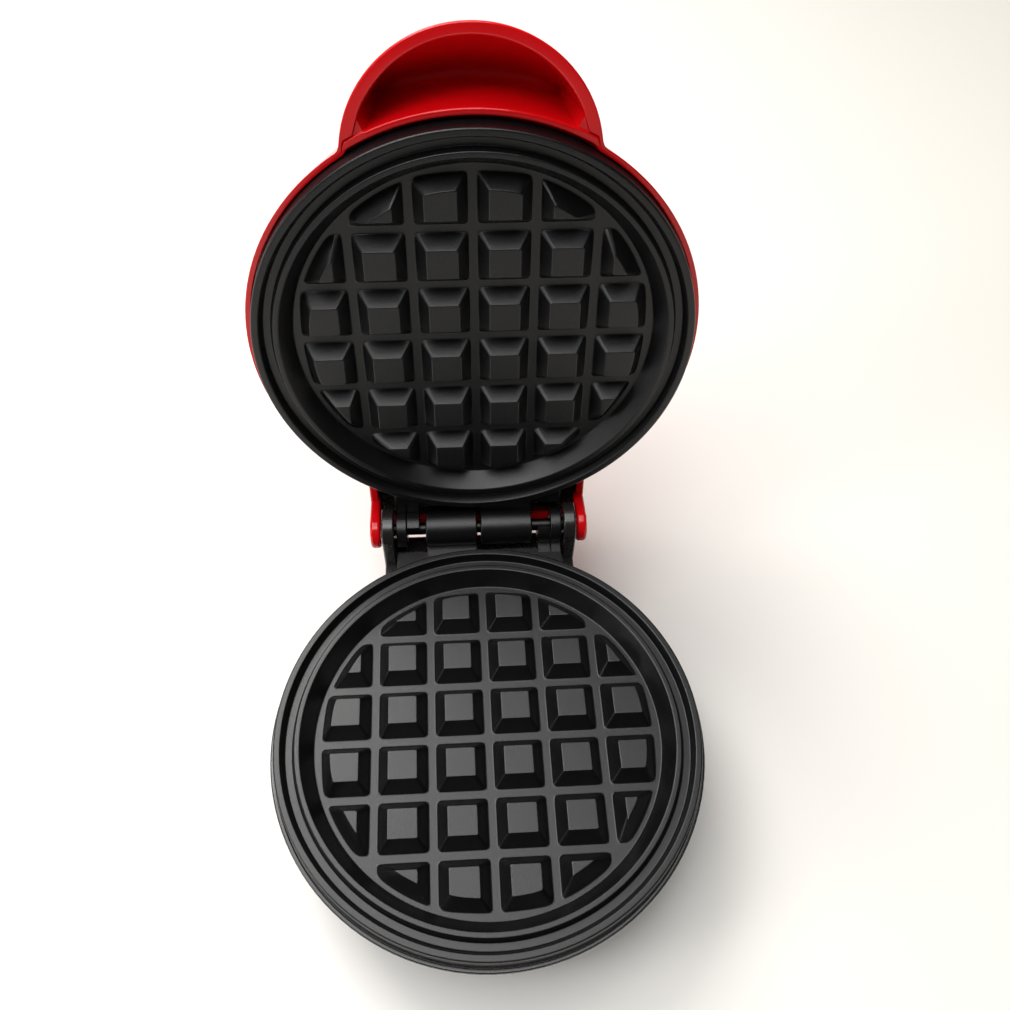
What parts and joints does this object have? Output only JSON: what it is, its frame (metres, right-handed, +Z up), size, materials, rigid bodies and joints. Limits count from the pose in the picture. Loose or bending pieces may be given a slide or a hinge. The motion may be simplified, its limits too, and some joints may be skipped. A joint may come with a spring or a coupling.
{
  "type": "waffle maker",
  "caption": "Small round waffle maker with a domed lid on a rear hinge, two studded non-stick plates, and a scooped front grip.",
  "frame": {"origin": "bottom centre of the bounding box, with the lid open as stored, on the surface that the feet stand on", "axes": "+Z up, +Y towards the hinge and the raised lid, -Y towards the user, +X to the user's right"},
  "size_m": [0.1306, 0.2048, 0.1975],
  "materials": {
    "red_shell": "high gloss red",
    "black_shell": "semi-gloss black",
    "nonstick_plate": "fine speckled dark non-stick coating on cast aluminium",
    "steel": "plain zinc-coated steel",
    "tinplate": "thin bright sheet steel",
    "rubber": "matte black",
    "ceramic": null,
    "insulation": null,
    "lens": "clear blue",
    "lamp_glass": "clear"
  },
  "bodies": {
    "base": {"base_housing": "black_shell", "bottom_cover": "black_shell", "bottom_cover_screw_1": "steel", "bottom_cover_screw_2": "steel", "bottom_cover_screw_3": "steel", "cord_inlet_grommet": "rubber", "foot_1": "rubber", "foot_2": "rubber", "foot_3": "rubber", "foot_4": "rubber", "hinge_pin": "steel", "lower_plate": "nonstick_plate", "lower_plate_screw_1": "steel", "lower_plate_screw_2": "steel", "lower_plate_screw_3": "steel", "lower_plate_screw_4": "steel", "lower_heating_element": "steel", "lower_heat_shield": "tinplate", "lower_heat_shield_screw": "steel", "thermostat": "ceramic", "thermal_fuse": "insulation", "terminal_block": "ceramic", "thermostat_lead": "insulation", "element_lead": "insulation", "fuse_lead": "insulation"},
    "lid": {"lid_cover": "red_shell", "lid_frame": "black_shell", "upper_plate": "nonstick_plate", "upper_plate_screw_1": "steel", "upper_plate_screw_2": "steel", "upper_plate_screw_3": "steel", "upper_plate_screw_4": "steel", "upper_heating_element": "steel", "upper_heat_shield": "tinplate", "upper_heat_shield_screw": "steel", "indicator_lens": "lens", "indicator_lamp": "lamp_glass", "lamp_lead": "insulation", "upper_element_lead": "insulation"}
  },
  "joints": [
    {"name": "lid_hinge", "type": "hinge", "parent": "base", "child": "lid", "pos_m": [0, 0.03458, 0.044], "axis": [1, 0, 0], "range_deg": [0, 103]}
  ]
}
